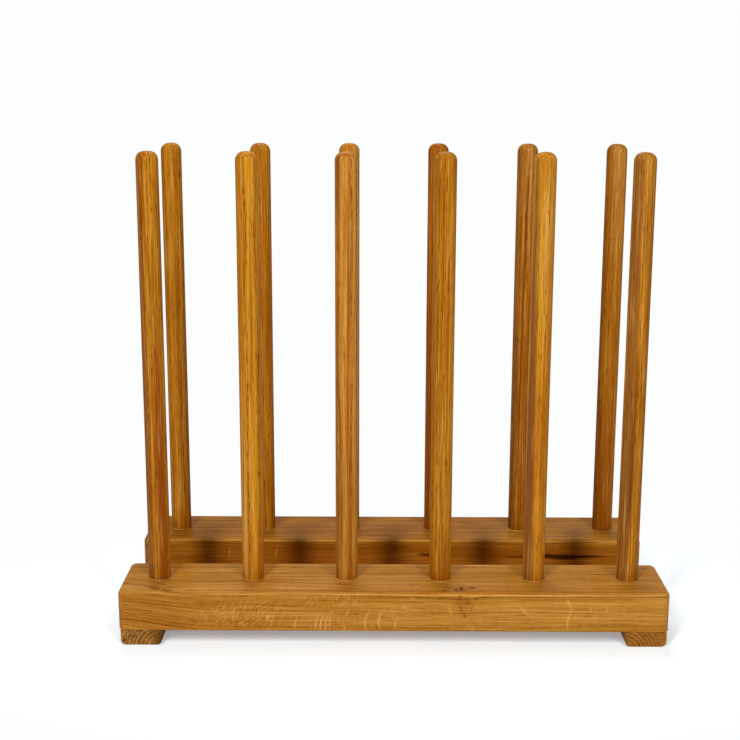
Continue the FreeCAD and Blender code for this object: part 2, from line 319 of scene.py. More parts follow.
def early_wood(tree, trunk, ring):
    """1 where a year's growth starts, falling to 0 in its late wood; some years are fainter."""
    across = add(tree, "VectorMath", {0: trunk, 1: (0.0, 1.0, 1.0)}, operation="MULTIPLY")
    radius = add(tree, "VectorMath", {0: across}, take="Value", operation="LENGTH")
    change = add(tree, "TexNoise", {"W": radius, "Scale": 1 / YEAR_CHANGE_WIDTH}, noise_dimensions="1D")
    grown = add(tree, "Math", {0: change, 1: YEAR_CHANGE, 2: radius}, operation="MULTIPLY_ADD")
    years = add(tree, "Math", {0: grown, 1: ring}, operation="DIVIDE")
    season = add(tree, "Math", {0: years}, operation="FRACT")
    fading = add(tree, "MapRange", {"Value": season, **EARLY_WOOD}, **EASE)
    year = add(tree, "Math", {0: years}, operation="FLOOR")
    luck = add(tree, "TexWhiteNoise", {"W": year}, noise_dimensions="1D")
    strength = add(tree, "MapRange", {"Value": luck, **YEAR_STRENGTH}, **EASE)
    return add(tree, "Math", {0: fading, 1: strength}, operation="MULTIPLY")


def pores(tree, trunk, early):
    """Dark dashes along the grain, crowded in the early wood and few in the late wood."""
    cloud = stretched(tree, trunk, PORE_LENGTH, PORE_WIDTH, detail=1.0)
    dashes = add(tree, "MapRange", {"Value": cloud, **PORE_EDGE}, **EASE)
    crowding = add(tree, "MapRange", {"Value": early, **PORE_CROWDING}, **EASE)
    return add(tree, "Math", {0: dashes, 1: crowding}, operation="MULTIPLY")


def ray_flecks(tree, trunk):
    """Pale dashes across the grain, where the surface cuts the thin rays from the pith."""
    bend = stretched(tree, trunk, FLECK_BEND_LENGTH, FLECK_BEND_WIDTH, take="Color")
    bent = add(tree, "VectorMath", {0: bend, 1: (FLECK_BEND,) * 3, 2: trunk}, operation="MULTIPLY_ADD")
    leaning = add(tree, "Mapping", {"Vector": bent, "Rotation": (0.0, FLECK_LEAN, 0.0)})
    cloud = stretched(tree, leaning, FLECK_WIDTH, FLECK_LENGTH, detail=1.0)
    return add(tree, "MapRange", {"Value": cloud, **FLECK_EDGE}, **EASE)


print("A fleck is about", FLECK_WIDTH, "by", FLECK_LENGTH, "mm")

# %% All patterns of the grain
STREAK_EDGE = {"From Min": 0.4, "From Max": 0.66}
TONE_EDGE = {"From Min": 0.32, "From Max": 0.68}


def grain_patterns(tree, trunk, ring):
    """Every pattern that the grain is drawn with, each a value from 0 to 1 all through the wood."""
    early = early_wood(tree, trunk, ring)
    streaks = stretched(tree, trunk, STREAK_LENGTH, STREAK_WIDTH, detail=1.0)
    tone = stretched(tree, trunk, TONE_LENGTH, TONE_WIDTH)
    return {
        "early": early,
        "pores": pores(tree, trunk, early),
        "flecks": ray_flecks(tree, trunk),
        "fibres": stretched(tree, trunk, FIBRE_LENGTH, FIBRE_WIDTH, detail=3.0),
        "streaks": add(tree, "MapRange", {"Value": streaks, **STREAK_EDGE}, **EASE),
        "tone": add(tree, "MapRange", {"Value": tone, **TONE_EDGE}, **EASE),
    }


print("A dark streak is about", STREAK_WIDTH, "by", STREAK_LENGTH, "mm")

# %% [markdown]
# Some marks are one of a kind: a knot, a dark streak, a single long ray. Each is a soft
# ellipsoid at a place of its own, turned, stretched and bowed like a thin crescent, and its
# rim wanders a little with noise. Some kinds only bring out a pattern that is there already,
# such as flecks or year rings, in the place that they cover.
# A knot also pushes the year rings aside, as the trunk grows round a branch.
# Other marks are painted light: highlights along rounded edges, a sheen, and shade down one side.

# %% Single marks and knots
MARKS = {
    # kind: tone, the pattern that it brings out, how far its full strength reaches
    "pale": ("#DBA552", None, 0.15),
    "dark": ("#3E1A02", None, 0.3),
    "red": ("#944806", None, 0.3),
    # painted shade and sheen: a greyer, darker band down the left side of a post
    "grey": ("#86542C", None, 0.75),
    "flecks": ("#D9A24A", "flecks", 0.3),
    "rings": ("#6E3306", "early", 0.3),
}
MARK_WANDER = 2.0 * MM
MARK_WANDER_LENGTH = 60.0
MARK_WANDER_WIDTH = 12.0
FULL_INSIDE = {"To Min": 1.0, "To Max": 0.0}


def lumps(tree, here, along):
    """The piece's own coordinates, shaken by a couple of millimetres: no rim is a clean oval."""
    widths = [MARK_WANDER_LENGTH if axis == along else MARK_WANDER_WIDTH for axis in "XYZ"]
    shrink = [1 / width / MM for width in widths]
    shrunk = add(tree, "VectorMath", {0: here, 1: shrink}, operation="MULTIPLY")
    noise = add(tree, "TexNoise", {"Vector": shrunk, "Scale": 1.0, "Detail": 1.0}, take="Color")
    return add(tree, "VectorMath", {0: noise, 1: (MARK_WANDER,) * 3, 2: here}, operation="MULTIPLY_ADD")


def blot(tree, vector, rim, place, reach, turn=(0, 0, 0), bow=0.0):
    """1 inside an ellipsoid with half sizes reach in mm, easing to 0 from rim to its surface.

    Bow shifts its two ends by that many half widths, with the square of the height.
    """
    centre = [c * MM + MARK_WANDER / 2 for c in place]
    turn = [math.radians(t) for t in turn]
    inside = add(tree, "Mapping", {"Vector": vector, "Location": centre, "Rotation": turn,
                                   "Scale": [r * MM for r in reach]}, vector_type="TEXTURE")
    if bow:
        x, y, z = add(tree, "SeparateXYZ", {0: inside}, take=("X", "Y", "Z"))
        square = add(tree, "Math", {0: z, 1: z}, operation="MULTIPLY")
        bowed = add(tree, "Math", {0: square, 1: -bow, 2: x}, operation="MULTIPLY_ADD")
        inside = add(tree, "CombineXYZ", {0: bowed, 1: y, 2: z})
    distance = add(tree, "VectorMath", {0: inside}, take="Value", operation="LENGTH")
    return add(tree, "MapRange", {"Value": distance, "From Min": rim, **FULL_INSIDE}, **EASE)


print("A mark's rim wanders by", MARK_WANDER / MM, "mm")

# %% Lay marks and push the rings
def pushed_by_knots(tree, trunk, shaken, knots):
    """Shifts the trunk coordinates round each knot, so that the rings bend past it."""
    for place, reach, push in knots:
        share = blot(tree, shaken, 0.0, place, reach)
        shares = add(tree, "CombineXYZ", {0: share, 1: share, 2: share})
        trunk = add(tree, "VectorMath", {0: shares, 1: push, 2: trunk}, operation="MULTIPLY_ADD")
    return trunk


def marked(tree, colour, shaken, marks, patterns):
    """Lays single marks over a colour, one after the other."""
    for kind, strength, *shape in marks:
        tone, pattern, rim = MARKS[kind]
        spot = blot(tree, shaken, rim, *shape)
        share = add(tree, "Math", {0: spot, 1: strength}, operation="MULTIPLY")
        if pattern:
            share = add(tree, "Math", {0: share, 1: patterns[pattern]}, operation="MULTIPLY")
        colour = add(tree, "Mix", {SHARE: share, UNDER: colour, OVER: linear(tone)}, **COLOUR_MIX)
    return colour


print("Marks come in these kinds:", ", ".join(MARKS))

# %% [markdown]
# ## The finish: sanded oak under satin varnish
# The wood was sanded and then sealed with a thin clear varnish, which turns pale oak to
# honey and amber and makes the pores darker. It gives broad soft highlights and, seen at a
# flat angle, a faint image of whatever stands on it. So the shader is a matt wood with a weak
# shine. The shine stays the same on every piece; the wood's own colours vary.
# A sawn end drinks more varnish than a face, so it is darker.

# %% Sawn ends and varnish
END_GRAIN = "#7A4C1C"
SAWN_EDGE = {"From Min": 0.6, "From Max": 0.95}
WOOD_ROUGHNESS = 0.48
PORE_ROUGHNESS = 0.2
WOOD_SHINE = 0.015
VARNISH = 0.07
VARNISH_ROUGHNESS = 0.2
PORE_DEPTH = 0.12 * MM
FIBRE_HEIGHT = 0.4
RELIEF_STRENGTH = 0.5


def darker_at_sawn_ends(tree, colour, along, sawn_share):
    """Mixes in the tone of end grain on faces that look along the grain."""
    normal = add(tree, "TexCoord", take="Normal")
    grain_way = [float(axis == along) for axis in "XYZ"]
    facing = add(tree, "VectorMath", {0: normal, 1: grain_way}, take="Value", operation="DOT_PRODUCT")
    facing = add(tree, "Math", {0: facing}, operation="ABSOLUTE")
    sawn = add(tree, "MapRange", {"Value": facing, **SAWN_EDGE, "To Max": sawn_share}, **EASE)
    return add(tree, "Mix", {SHARE: sawn, UNDER: colour, OVER: linear(END_GRAIN)}, **COLOUR_MIX)


def varnish(tree, colour, dashes, fibres):
    """Finishes the wood: pores are sunk and duller, and fibres stand up a little."""
    dullness = add(tree, "Math", {0: dashes, 1: PORE_ROUGHNESS, 2: WOOD_ROUGHNESS},
                   operation="MULTIPLY_ADD")
    raised = add(tree, "Math", {0: fibres, 1: FIBRE_HEIGHT}, operation="MULTIPLY")
    relief = add(tree, "Math", {0: dashes, 1: -1.0, 2: raised}, operation="MULTIPLY_ADD")
    bump = add(tree, "Bump", {"Height": relief, "Strength": RELIEF_STRENGTH, "Distance": PORE_DEPTH})
    wood = add(tree, "BsdfPrincipled", {"Base Color": colour, "Roughness": dullness, "Normal": bump,
                                        "Specular IOR Level": WOOD_SHINE, "Coat Weight": VARNISH,
                                        "Coat Roughness": VARNISH_ROUGHNESS})
    add(tree, "OutputMaterial", {"Surface": wood})


print("Varnished wood has a roughness of", WOOD_ROUGHNESS, "under its clear coat")

# %% The colour of the grain
HONEY = "#CE903A"
AMBER = "#B87A22"
PALE_LINE = "#DFAE5C"
BROWN = "#7E4204"
GRAIN_SHARES = {"early": 0.42, "streaks": 0.24, "pores": 0.58, "fibres": 0.36, "pale": 0.3}
DARK_FIBRES = {"From Min": 0.38, "From Max": 0.68}
PALE_FIBRES = {"From Min": 0.46, "From Max": 0.3}


def grain_colour(tree, patterns, shaken, tones, stains, shares, contrast, figure):
    """A tone between the first two, darkened to the third by a sum of fibres and patterns.

    Each counts by its share times contrast. Where there are no dark fibres the wood is paler,
    and the flecks of its rays show by as much as figure says.
    """
    light, deep, brown = (linear(tone) for tone in tones)
    fibres = patterns["fibres"]
    full = {part: share * contrast for part, share in shares.items()}
    colour = add(tree, "Mix", {SHARE: patterns["tone"], UNDER: light, OVER: deep}, **COLOUR_MIX)
    colour = marked(tree, colour, shaken, stains, patterns)
    darker = add(tree, "MapRange", {"Value": fibres, **DARK_FIBRES, "To Max": full["fibres"]}, **EASE)
    for part in ("early", "streaks", "pores"):
        darker = add(tree, "Math", {0: patterns[part], 1: full[part], 2: darker},
                     operation="MULTIPLY_ADD")
    colour = add(tree, "Mix", {SHARE: darker, UNDER: colour, OVER: brown}, **COLOUR_MIX)
    paler = add(tree, "MapRange", {"Value": fibres, **PALE_FIBRES, "To Max": full["pale"]}, **EASE)
    colour = add(tree, "Mix", {SHARE: paler, UNDER: colour, OVER: linear(PALE_LINE)}, **COLOUR_MIX)
    flecks = add(tree, "Math", {0: patterns["flecks"], 1: figure}, operation="MULTIPLY")
    silver = linear(MARKS["flecks"][0])
    return add(tree, "Mix", {SHARE: flecks, UNDER: colour, OVER: silver}, **COLOUR_MIX)


print("Oak is coloured in", HONEY, AMBER, "and", BROWN)

# %% The oak material
SAWN_SHARE = 0.35


def oak(name, along, pith, ring, sway, stretch=0.0, tones=(HONEY, AMBER, BROWN), contrast=1.0,
        figure=0.1, stains=(), marks=(), knots=(), shares=GRAIN_SHARES, sawn_share=SAWN_SHARE):
    """Solid oak with its grain along one axis and its pith through a place in mm.

    Ring is how wide a year is, sway how far the grain wanders and stretch how far up the
    trunk the piece grew, all in mm. Stains lie under the grain and marks over it.
    """
    material, tree = new_material(name)
    shaken = lumps(tree, add(tree, "TexCoord", take="Object"), along)
    trunk = place_in_trunk(tree, along, pith, stretch, sway)
    trunk = pushed_by_knots(tree, trunk, shaken, knots)
    patterns = grain_patterns(tree, trunk, ring)
    colour = grain_colour(tree, patterns, shaken, tones, stains, shares, contrast, figure)
    colour = marked(tree, colour, shaken, marks, patterns)
    colour = darker_at_sawn_ends(tree, colour, along, sawn_share)
    varnish(tree, colour, patterns["pores"], patterns["fibres"])
    return material


def dress(node_name, material):
    """Gives a piece of the frame its material; the piece itself stays as it is."""
    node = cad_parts[node_name]
    node.data.materials.clear()
    node.data.materials.append(material)


print("Sawn ends take", SAWN_SHARE, "of the tone", END_GRAIN)

# %% [markdown]
# ## The front rail
# The front rail shows its best face forwards: quarter-sawn oak, whose saw cut ran nearly
# along the rays. So its pith lies straight below the front face. There the rays show as a
# cloud of small flecks on the left and as single long crescents further right. At the left
# end the grain dives, and right of the middle it flows round a small knot on the edge.
# The shape is kept as it came: its rounded edges and post sockets are right already.

# %% List the single marks of the front rail
front_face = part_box("front_rail")[0].y / MM
rail_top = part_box("front_rail")[1].z / MM
LONG_RAYS = [
    # x, z, half width, half height, lean in degrees, bow, strength
    (-137, 33, 1.6, 12, 20, 1.0, 0.5), (-131, 32, 1.5, 11, 18, 1.0, 0.45),
    (-107, 27, 1.7, 12, 14, 1.2, 0.45), (-84, 28, 1.7, 17, 16, 2.0, 0.7),
    (-78.5, 28, 1.6, 17, 14, 2.0, 0.65), (-73.5, 28, 1.5, 17, 11, 1.8, 0.7),
    (-69, 29, 1.5, 16, 9, 1.6, 0.6), (-51, 38, 1.8, 5, 30, 0.0, 0.6),
    (-53, 21, 1.7, 6, 2, 0.0, 0.5), (-31, 29, 1.9, 17, 8, 3.0, 0.65),
    (-16, 30, 1.9, 17, 4, 2.8, 0.7), (2, 26, 1.6, 12, 8, 1.0, 0.5),
    (61.5, 42, 1.8, 9, -13, 0.5, 0.5), (86, 20, 2.2, 5, 4, 0.0, 0.5),
    (142, 41, 2.4, 12, -50, 0.5, 0.6), (190.5, 50, 2.4, 9, -32, 0.6, 0.6),
    (189.5, 31, 2.2, 18, 8, 2.4, 0.65), (214, 43, 2.2, 6, 4, 0.6, 0.45),
    (231, 43, 1.8, 6, 0, 0.4, 0.4),
]
KNOT_SPOTS = [
    # x, z, half width, half height, lean in degrees, strength
    (71.5, 57, 2.2, 4.0, 25, 0.4), (73.5, 43.5, 2.0, 6.5, -22, 0.35), (77.5, 35, 2.6, 4.0, 0, 0.4),
    (80, 50.5, 2.6, 2.4, 0, 0.35), (85, 44, 1.8, 6.5, 12, 0.3), (90, 55.5, 3.0, 1.8, 0, 0.35),
]
END_STREAKS = [
    # x, z, lean in degrees
    (-262, 57.5, 9), (-235, 53.5, 9), (-210, 49.5, 9), (-288, 53, 17), (-266, 46.5, 17),
    (-246, 41, 15), (-290, 46, 16), (-268, 40, 15), (-240, 33.5, 13), (-216, 29, 10),
    (-286, 36, 14), (-262, 30, 13), (-236, 24.5, 12),
]
END_STREAK_STRENGTH = 0.5
END_STREAK_REACH = (11, 5, 1.0)
RAY_DEPTH = 6
KNOT_DEPTH = 5
ray_marks = [("pale", strength, (x, front_face, z), (half, RAY_DEPTH, tall), (0, lean, 0), bow)
             for x, z, half, tall, lean, bow, strength in LONG_RAYS]
knot_marks = [("dark", strength, (x, front_face, z), (half, KNOT_DEPTH, tall), (0, lean, 0))
              for x, z, half, tall, lean, strength in KNOT_SPOTS]
end_marks = [("red", END_STREAK_STRENGTH, (x, front_face, z), END_STREAK_REACH, (0, lean, 0))
             for x, z, lean in END_STREAKS]
print("The front rail has", len(ray_marks), "long rays and", len(knot_marks), "spots in its knot")

# %% Dress the front rail
FRONT_PITH = (0, front_face + 6, -70)
front_marks = ray_marks + end_marks + [
    # kind, strength, place and half sizes in mm, turn in degrees
    ("red", 0.2, (-240, front_face, 38), (120, 12, 45)),
    ("flecks", 0.5, (-165, front_face, 36), (78, 8, 24)),
    ("flecks", 0.4, (-70, front_face, 53), (60, 8, 8)),
    ("flecks", 0.2, (-70, front_face, 28), (62, 8, 15)),
    ("flecks", 0.3, (8, front_face, 44), (26, 8, 10)),
    ("flecks", 0.4, (90, front_face, 55), (9, 5, 5)),
    ("flecks", 0.15, (100, front_face, 28), (60, 8, 14)),
    ("rings", 0.45, (-266, front_face, 34), (52, 14, 36)),
    ("pale", 0.55, (21, front_face, 55.5), (5, 4, 1.6)),
    ("pale", 0.35, (100, front_face, 32), (8, 5, 1.6), (0, -4, 0)),
    ("red", 0.4, (60, front_face + 3.5, rail_top), (420, 3.0, 1.6)),
    # a painted highlight along the rounded top front edge
    ("pale", 0.9, (60, front_face + 0.8, rail_top - 3.0), (420, 2, 1.2)),
    ("dark", 0.25, (60, front_face, rail_top - 7.0), (420, 2, 0.9)),
    ("dark", 0.4, (-126, front_face, 46.5), (50, 3, 1.0), (0, 2.6, 0)),
    ("red", 0.3, (75, front_face, 47), (13, 5, 16)),
    ("red", 0.5, (75, -121, rail_top), (15, 9, 4)),
    ("dark", 0.95, (74, -118, rail_top), (2.5, 6.5, 4)),
    ("dark", 0.6, (67.5, -121.5, rail_top), (3.6, 6.0, 4)),
    ("dark", 0.6, (86, -116, rail_top), (5.6, 4.5, 3), (0, 0, 10)),
    ("dark", 0.45, (-251, -110, rail_top), (27, 1.8, 3), (0, 0, -35)),
    ("red", 0.4, (-262, -92, rail_top), (30, 3.0, 3), (0, 0, -24)),
    ("dark", 0.4, (-139, -118.8, rail_top), (27, 1.8, 3), (0, 0, -9)),
    ("red", 0.35, (-120, -100, rail_top), (60, 3.0, 3), (0, 0, -6)),
] + knot_marks
front_knots = [
    # place, reach and push, in mm
    ((76, -124, 56), (30, 14, 24), (0.0, 0.0, 4.0)),
    ((-330, -130, 40), (150, 60, 60), (0.0, 0.0, -15.0)),
]
dress("front_rail", oak("quarter_sawn_oak_front_rail", "X", FRONT_PITH, ring=3.0, sway=4.0,
                        contrast=0.85, figure=0.12, marks=front_marks, knots=front_knots))
print("The front rail carries", len(front_marks), "marks")

# %% [markdown]
# ## The rear rail
# The rear rail came from a darker board. Its front face is a deep golden brown, darkened all
# over by a painted shade, with two near-black streaks. Its top is plainer, with a painted
# highlight along its front edge and a painted sheen over its right part.

# %% Dress the rear rail
rear_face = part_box("rear_rail")[0].y / MM
REAR_PITH = (0, 30, -25)
REAR_RAIL_TONES = ("#BA7A20", "#9E620C", "#5E2C00")
rear_marks = [
    # kind, strength, place and half sizes in mm, turn in degrees
    # a painted shade: a red-brown mark that darkens the whole front face
    ("red", 0.55, (0, rear_face, 38), (620, 6, 30)),
    ("dark", 0.9, (41, rear_face, 43), (14, 9, 2.2)),
    ("dark", 1.0, (224, rear_face, 41.5), (48, 9, 2.6)),
    ("dark", 1.0, (206, rear_face, 40.5), (28, 9, 5.5)),
    ("dark", 1.0, (186, rear_face, 42), (24, 9, 4.0)),
    ("dark", 0.8, (150, rear_face, 40.5), (24, 9, 1.6)),
    ("pale", 0.35, (-196, rear_face, 45), (1.4, 5, 9), (0, 6, 0)),
    ("pale", 0.3, (-140, rear_face, 45), (1.6, 5, 9), (0, 10, 0)),
    # a painted highlight along the rounded top front edge
    ("pale", 0.5, (0, rear_face + 1, rail_top - 1.8), (500, 3, 1.4)),
    # a painted sheen over the right part of the top
    ("pale", 0.14, (220, 85, rail_top), (240, 60, 4)),
]
dress("rear_rail", oak("plain_sawn_oak_rear_rail", "X", REAR_PITH, stretch=900.0, ring=3.2, sway=6.0,
                       tones=REAR_RAIL_TONES, contrast=0.85, figure=0.05, marks=rear_marks))
print("The rear rail carries", len(rear_marks), "marks")

# %% [markdown]
# ## The runners
# The runners are the feet. Their sawn ends look forward from under the front rail and show
# the year rings as arcs: the pith of each lies close to its inner lower corner. Towards that
# corner the end and the inner side carry a painted shade, darker towards the inner edge.

# %% Dress the runners
RUNNERS = {
    # where the pith is, how strong the year rings are, the tones, how strong the painted shade at the
    # inner edge is
    "left_runner": ((-252, 0, -6), 1.3, ("#DEA250", "#C68634", "#2C1400"), 0.75),
    "right_runner": ((248, 0, -10), 0.95, ("#DA923A", "#BE7828", "#4A2002"), 0.3),
}
RING_STRENGTH = 0.7
RING_REACH = (60, 40, 60)
INNER_SHADE_REACH = (13, 60, 22)
END_HEIGHT = 8
RUNNER_STRETCH = 7.0
for runner, (pith, contrast, tones, inner_shade_strength) in RUNNERS.items():
    end_place = (pith[0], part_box(runner)[0].y / MM, END_HEIGHT)
    end_marks = [("rings", RING_STRENGTH * contrast, end_place, RING_REACH),
                 # the dark mark is painted shade at the inner edge of the end and on the inner side
                 ("dark", inner_shade_strength, end_place, INNER_SHADE_REACH)]
    dress(runner, oak("plain_sawn_oak_" + runner, "Y", pith, stretch=pith[0] * RUNNER_STRETCH, ring=4.2,
                      sway=1.0, tones=tones, contrast=contrast, marks=end_marks))
print("Runners dressed:", ", ".join(RUNNERS))

# %% [markdown]
# ## The posts
# The posts are turned: a square blank spins in a lathe until it is round, and is sanded by
# hand along the grain. The frame's posts are perfect cylinders, so each is made again as a
# surface of revolution with what handwork leaves: a radius that swells and thins by less
# than a tenth of a millimetre, a section a hair out of round and a top edge eased by hand.
# A surface of revolution is a grid: one way round the axis, the other way along the profile.
# It is worked out as one array, and the two ends are closed with a fan to a point on the
# axis. The tenon below the shoulder stays in, since it fills the socket in the rail.

# %% A surface from a grid
SHARP_ANGLE = math.radians(40)


def skin(name, rings, ends="pointed"):
    """A closed mesh from rings of points, counter-clockwise seen from the last ring.

    Each ring is joined to the next by quads. Pointed ends close with a fan to the middle of
    the first and the last ring; joined ends close into a loop.
    """
    count, around = rings.shape[:2]
    points = rings.reshape(-1, 3)
    ring, step = np.meshgrid(np.arange(count - (ends == "pointed")), np.arange(around), indexing="ij")
    here, above = ring * around, (ring + 1) % count * around
    beside = (step + 1) % around
    quads = np.stack((here + step, here + beside, above + beside, above + step), axis=-1)
    faces = quads.reshape(-1, 4).tolist()
    if ends == "pointed":
        points = np.vstack((points, rings[0].mean(axis=0), rings[-1].mean(axis=0)))
        first, last = np.arange(around), np.arange(around) + (count - 1) * around
        faces += np.column_stack((np.roll(first, -1), first, np.full(around, count * around))).tolist()
        faces += np.column_stack((last, np.roll(last, -1), np.full(around, count * around + 1))).tolist()
    mesh = bpy.data.meshes.new(name)
    mesh.from_pydata(points.tolist(), [], faces)
    mesh.shade_smooth()
    mesh.set_sharp_from_angle(angle=SHARP_ANGLE)
    return mesh


def put_in(name, mesh, material):
    """Links a finished mesh as a piece that rides with the rack and takes its finish from a slot."""
    mesh.materials.append(material)
    piece = bpy.data.objects.new(name, mesh)
    bpy.context.scene.collection.objects.link(piece)
    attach(piece, "root")
    return piece


print("A skin stays smooth up to", round(math.degrees(SHARP_ANGLE)), "degrees between faces")

# %% The profile of a post
TENON_RADIUS = 10.0
TENON_EASE = 1.5
SHOULDER_EASE = 0.5
TOP_ROUND = 9.3
TOP_CROWN = 0.2
ROUND_STEPS = 10
SHAFT_STEP = 12.0
END_RADII = np.linspace(0.1, TENON_RADIUS - TENON_EASE, 3)
CROWN_SHARES = np.linspace(0.8, 0.1, 4)


def post_profile(radius, foot, shoulder, top, top_round):
    """Radius and height of each ring, from the tenon's end to the top of the post.

    They are straight runs, then a quarter of an arc, then a crown that falls off with the
    square of the radius.
    """
    bend = np.linspace(0.0, math.pi / 2, ROUND_STEPS)
    shaft = np.arange(shoulder + 2 * SHOULDER_EASE, top - top_round, SHAFT_STEP)
    inner = radius - top_round
    steps = [
        (END_RADII, np.full(len(END_RADII), foot)),
        ([TENON_RADIUS, TENON_RADIUS], [foot + TENON_EASE, shoulder]),
        ([radius - SHOULDER_EASE], [shoulder]),
        (np.full(len(shaft), radius), shaft),
        (inner + top_round * np.cos(bend), top - TOP_CROWN - top_round + top_round * np.sin(bend)),
        (inner * CROWN_SHARES, top - TOP_CROWN * CROWN_SHARES ** 2),
    ]
    return np.vstack([np.column_stack(part) for part in steps])


print("The top of a post is rounded by", TOP_ROUND, "mm in", ROUND_STEPS, "steps")

# %% Turn a post
POST_FACETS = 56
SANDING = 0.07
TOP_ROUND_CHANGE = (-0.4, 0.3)
LONG_SWELL = (38, 60)
SHORT_SWELL = (15, 24)
OVAL_TWIST = 160.0


def turned_post(name, random):
    """Carries the profile round the post's axis, with a radius that varies slowly.

    Two swells along the post and an oval across it, each a wave between -1 and 1, say how
    much is sanded off: from nothing to the full sanding.
    """
    low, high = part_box(name)
    centre = (low + high) / 2 / MM
    radius = (high.x - low.x) / 2 / MM
    top_round = TOP_ROUND + random.uniform(*TOP_ROUND_CHANGE)
    profile = post_profile(radius, low.z / MM, rail_top, high.z / MM, top_round)
    angle = np.linspace(0.0, 2 * math.pi, POST_FACETS, endpoint=False)
    reach, height = profile[:, :1], profile[:, 1:]
    lean, pace = random.uniform(0, 2 * math.pi, 2)
    long_swell = np.sin(height / random.uniform(*LONG_SWELL) + pace)
    short_swell = np.sin(height / random.uniform(*SHORT_SWELL) + lean)
    oval = np.cos(2 * (angle - lean) + height / OVAL_TWIST)
    worn = SANDING * (3 + (long_swell + short_swell) + oval) / 6 * (height > rail_top)
    across = reach - worn * reach / radius
    rings = np.stack((centre.x + across * np.cos(angle), centre.y + across * np.sin(angle),
                      height + 0 * angle), axis=-1)
    return skin(name, rings * MM)


print("Sanding takes at most", SANDING, "mm off a post")

# %% [markdown]
# Each post was split from another part of a board, so each has its own grain. The list says,
# for every post, on which side and how far off the pith lay, how wide the rings are, how
# light the wood is, and which bands and streaks it shows on its front. Some of these are
# painted light: a band of painted shade and sheen down the left side of most posts, a painted
# shade at the top left of the third front post and a painted light band on the left of the second.

